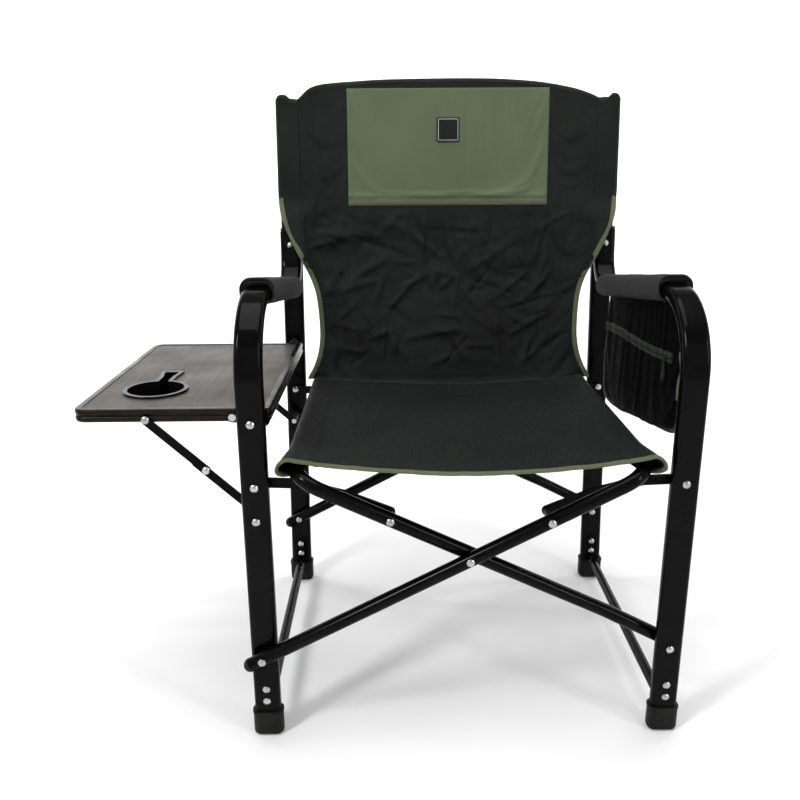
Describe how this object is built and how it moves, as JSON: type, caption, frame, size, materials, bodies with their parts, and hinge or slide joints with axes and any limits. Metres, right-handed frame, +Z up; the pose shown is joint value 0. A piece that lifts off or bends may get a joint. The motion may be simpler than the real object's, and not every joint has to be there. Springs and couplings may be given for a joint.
{
  "type": "director chair",
  "caption": "Folding director chair with a slung fabric seat and back, padded arms, a drop-leaf side table with cup holder and a zipped side pouch.",
  "frame": {"origin": "on the floor, midway between the four feet at the middle of the chair", "axes": "+Z up, -Y towards the front of the seat, -X towards the side table"},
  "size_m": [0.8602, 0.6016, 0.957],
  "materials": {
    "black_tube": "gloss black",
    "black_steel": "satin black",
    "black_plastic": "matte black",
    "gloss_plastic": "gloss black",
    "black_rubber": "matte black",
    "foam": "matte charcoal foam with a knitted skin",
    "rivet_steel": "bright",
    "bronze_aluminium": "dark bronze anodised",
    "laminate": "brown-grey laminate with fine lines",
    "black_fabric": "woven black polyester",
    "green_fabric": "woven olive green polyester",
    "pouch_fabric": "woven black polyester",
    "pouch_trim": "satin black"
  },
  "bodies": {
    "left_frame": {"left_front_leg_and_arm": "black_tube", "left_rear_leg_and_post": "black_tube", "left_front_foot": "black_rubber", "left_rear_foot": "black_rubber", "left_tube_end_plugs": "black_plastic", "left_arm_foam_sleeve": "foam", "left_stretcher": "black_tube", "left_stretcher_brackets": "black_steel", "left_stretcher_pins": "rivet_steel", "left_frame_rivets": "rivet_steel", "left_pivot_spacers": "black_plastic", "back_fabric": "black_fabric", "head_panel": "green_fabric"},
    "right_frame": {"right_front_leg_and_arm": "black_tube", "right_rear_leg_and_post": "black_tube", "right_front_foot": "black_rubber", "right_rear_foot": "black_rubber", "right_tube_end_plugs": "black_plastic", "right_arm_foam_sleeve": "foam", "right_stretcher": "black_tube", "right_stretcher_brackets": "black_steel", "right_stretcher_pins": "rivet_steel", "right_frame_rivets": "rivet_steel", "right_pivot_spacers": "black_plastic", "side_pouch": "pouch_fabric", "pouch_zip_pull": "pouch_trim"},
    "frame_a": {"scissor_tube_a": "black_tube", "scissor_a_end_plugs": "black_plastic", "crossing_rivets": "rivet_steel", "link_rivets_a": "rivet_steel", "link_bushes_a": "black_plastic", "seat_fabric": "black_fabric"},
    "frame_b": {"scissor_tube_b": "black_tube", "scissor_b_end_plugs": "black_plastic", "link_rivets_b": "rivet_steel", "link_bushes_b": "black_plastic"},
    "table": {"table_edge_frame": "bronze_aluminium", "table_board": "laminate", "table_cup_holder": "gloss_plastic", "table_hinge_plates": "black_steel", "table_hinge_rivets": "rivet_steel"},
    "front_left_link": {"front_left_link": "black_steel"},
    "front_right_link": {"front_right_link": "black_steel"},
    "front_stay_lower": {"front_stay_lower_bar": "black_steel", "front_stay_middle_rivet": "rivet_steel"},
    "front_stay_upper": {"front_stay_upper_bar": "black_steel", "front_stay_top_rivet": "rivet_steel"},
    "rear_left_link": {"rear_left_link": "black_steel"},
    "rear_right_link": {"rear_right_link": "black_steel"},
    "rear_stay_lower": {"rear_stay_lower_bar": "black_steel", "rear_stay_middle_rivet": "rivet_steel"},
    "rear_stay_upper": {"rear_stay_upper_bar": "black_steel", "rear_stay_top_rivet": "rivet_steel"}
  },
  "joints": [
    {"name": "fold_hinge_left", "type": "hinge", "parent": "left_frame", "child": "frame_a", "pos_m": [-0.2925, 0, 0.137], "axis": [0, -1, 0], "range_deg": [0, 47.4], "deforming": ["seat_fabric", "back_fabric", "head_panel", "left_arm_foam_sleeve", "right_arm_foam_sleeve"]},
    {"name": "scissor_hinge", "type": "hinge", "parent": "frame_a", "child": "frame_b", "pos_m": [0, 0, 0.29], "axis": [0, -1, 0], "range_deg": [-94.8, 0]},
    {"name": "fold_hinge_right", "type": "hinge", "parent": "frame_b", "child": "right_frame", "pos_m": [0.2925, 0, 0.137], "axis": [0, -1, 0], "range_deg": [0, 47.4]},
    {"name": "front_left_link_hinge", "type": "hinge", "parent": "left_frame", "child": "front_left_link", "pos_m": [-0.2925, 0, 0.393], "axis": [0, -1, 0], "range_deg": [0, 87.07]},
    {"name": "front_right_link_hinge", "type": "hinge", "parent": "right_frame", "child": "front_right_link", "pos_m": [0.2925, 0, 0.393], "axis": [0, -1, 0], "range_deg": [-87.07, 0]},
    {"name": "rear_left_link_hinge", "type": "hinge", "parent": "left_frame", "child": "rear_left_link", "pos_m": [-0.2925, 0, 0.393], "axis": [0, -1, 0], "range_deg": [0, 87.07]},
    {"name": "rear_right_link_hinge", "type": "hinge", "parent": "right_frame", "child": "rear_right_link", "pos_m": [0.2925, 0, 0.393], "axis": [0, -1, 0], "range_deg": [-87.07, 0]},
    {"name": "table_hinge", "type": "hinge", "parent": "left_frame", "child": "table", "pos_m": [-0.2925, 0, 0.483], "axis": [0, -1, 0], "range_deg": [0, 80]},
    {"name": "front_stay_lower_hinge", "type": "hinge", "parent": "left_frame", "child": "front_stay_lower", "pos_m": [-0.2925, 0, 0.343], "axis": [0, -1, 0], "range_deg": [-54.14, 0]},
    {"name": "front_stay_middle_hinge", "type": "hinge", "parent": "front_stay_lower", "child": "front_stay_upper", "pos_m": [-0.36224, 0, 0.40825], "axis": [0, -1, 0], "range_deg": [0, 167.68]},
    {"name": "rear_stay_lower_hinge", "type": "hinge", "parent": "left_frame", "child": "rear_stay_lower", "pos_m": [-0.2925, 0, 0.343], "axis": [0, -1, 0], "range_deg": [-54.14, 0]},
    {"name": "rear_stay_middle_hinge", "type": "hinge", "parent": "rear_stay_lower", "child": "rear_stay_upper", "pos_m": [-0.36224, 0, 0.40825], "axis": [0, -1, 0], "range_deg": [0, 167.68]}
  ],
  "couplings": [
    {"joint": "scissor_hinge", "follows": "fold_hinge_left", "ratio": -2},
    {"joint": "fold_hinge_right", "follows": "fold_hinge_left", "ratio": 1},
    {"joint": "front_left_link_hinge", "follows": "fold_hinge_left", "ratio": 1.8365},
    {"joint": "front_right_link_hinge", "follows": "fold_hinge_left", "ratio": -1.8365},
    {"joint": "rear_left_link_hinge", "follows": "fold_hinge_left", "ratio": 1.8365},
    {"joint": "rear_right_link_hinge", "follows": "fold_hinge_left", "ratio": -1.8365},
    {"joint": "front_stay_lower_hinge", "follows": "table_hinge", "ratio": -0.67652},
    {"joint": "front_stay_middle_hinge", "follows": "table_hinge", "ratio": 2.0958},
    {"joint": "rear_stay_lower_hinge", "follows": "table_hinge", "ratio": -0.67652},
    {"joint": "rear_stay_middle_hinge", "follows": "table_hinge", "ratio": 2.0958}
  ]
}
